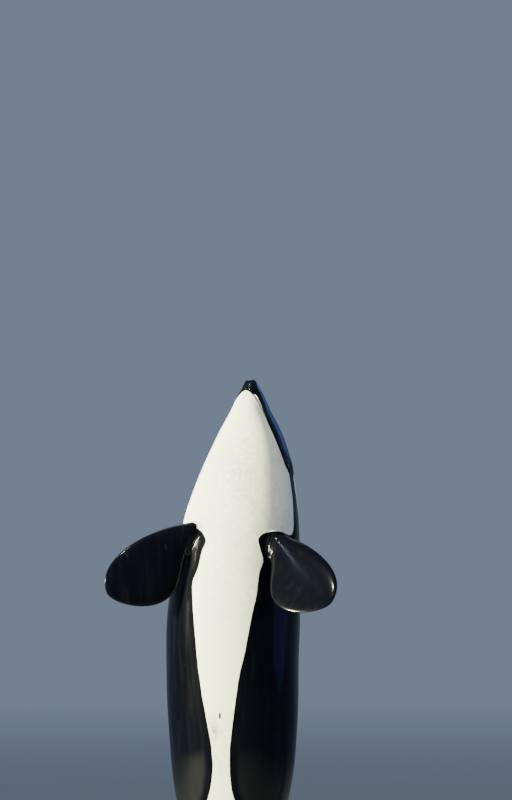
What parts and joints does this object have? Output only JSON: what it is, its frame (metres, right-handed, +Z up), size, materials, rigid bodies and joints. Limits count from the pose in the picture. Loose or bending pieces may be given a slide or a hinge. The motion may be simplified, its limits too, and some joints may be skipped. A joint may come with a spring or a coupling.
{
  "type": "orca model",
  "caption": "Life-size upright young orca in a leaping pose, belly forward with spread flippers, held by two rods on a round display base.",
  "frame": {"origin": "centre of the underside of the round display base", "axes": "+Z up from the base to the snout, the belly faces -Y, the back and dorsal fin face +Y, the animal's left side is +X"},
  "size_m": [2, 2, 4.1856],
  "materials": {
    "skin": "wet smooth black skin with cream white chin, belly band, flank and eye patches and a grey saddle",
    "eye": "dark brown wet eye",
    "stand_base": "fine textured dark grey paint",
    "stand_rod": "brushed"
  },
  "bodies": {
    "root": {"head": "skin", "lower_jaw": "skin", "chest": "skin", "trunk": "skin", "abdomen": "skin", "tail_stock": "skin", "tail_end": "skin", "flipper_left": "skin", "flipper_right": "skin", "dorsal_fin": "skin", "fluke_left": "skin", "fluke_right": "skin", "eye_left": "eye", "eye_right": "eye", "stand_base": "stand_base", "stand_flange_front": "stand_rod", "stand_flange_rear": "stand_rod", "stand_rod_front": "stand_rod", "stand_rod_rear": "stand_rod"}
  },
  "joints": []
}
